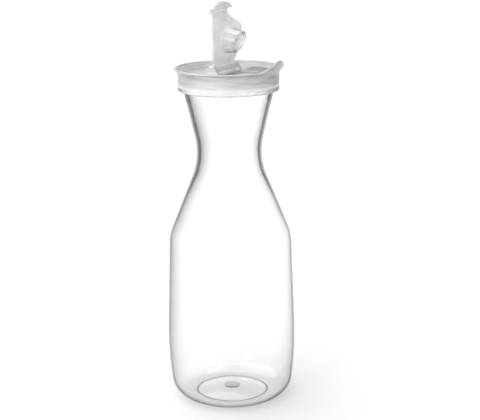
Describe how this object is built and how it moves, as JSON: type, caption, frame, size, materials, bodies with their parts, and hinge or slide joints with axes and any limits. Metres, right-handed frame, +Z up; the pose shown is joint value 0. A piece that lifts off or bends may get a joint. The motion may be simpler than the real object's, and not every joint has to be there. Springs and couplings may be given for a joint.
{
  "type": "lidded carafe",
  "caption": "Clear waisted carafe with a push-on lid that has a raised pouring lip and a hinged stopper flap with a thumb tab and a hollow plug.",
  "frame": {"origin": "centre of the base, on the surface that the carafe stands on", "axes": "+Z up along the axis of the body, +X towards the pouring lip, +Y along the hinge line of the flap"},
  "size_m": [0.0948, 0.0948, 0.2946],
  "materials": {
    "clear_body": "clear polycarbonate, blown and polished by its mould",
    "lid": "milky translucent polypropylene with a satin moulded surface",
    "flap": "translucent polypropylene with a satin moulded surface"
  },
  "bodies": {
    "carafe": {"carafe_body": "clear_body"},
    "lid": {"lid": "lid"},
    "flap": {"flap": "flap"}
  },
  "joints": [
    {"name": "lid_lift", "type": "slide", "parent": "carafe", "child": "lid", "axis": [0, 0, 1], "range_m": [0, 0.016]},
    {"name": "flap_hinge", "type": "hinge", "parent": "lid", "child": "flap", "pos_m": [-0.0042, 0, 0.2473], "axis": [0, 1, 0], "range_deg": [-25, 79]}
  ]
}
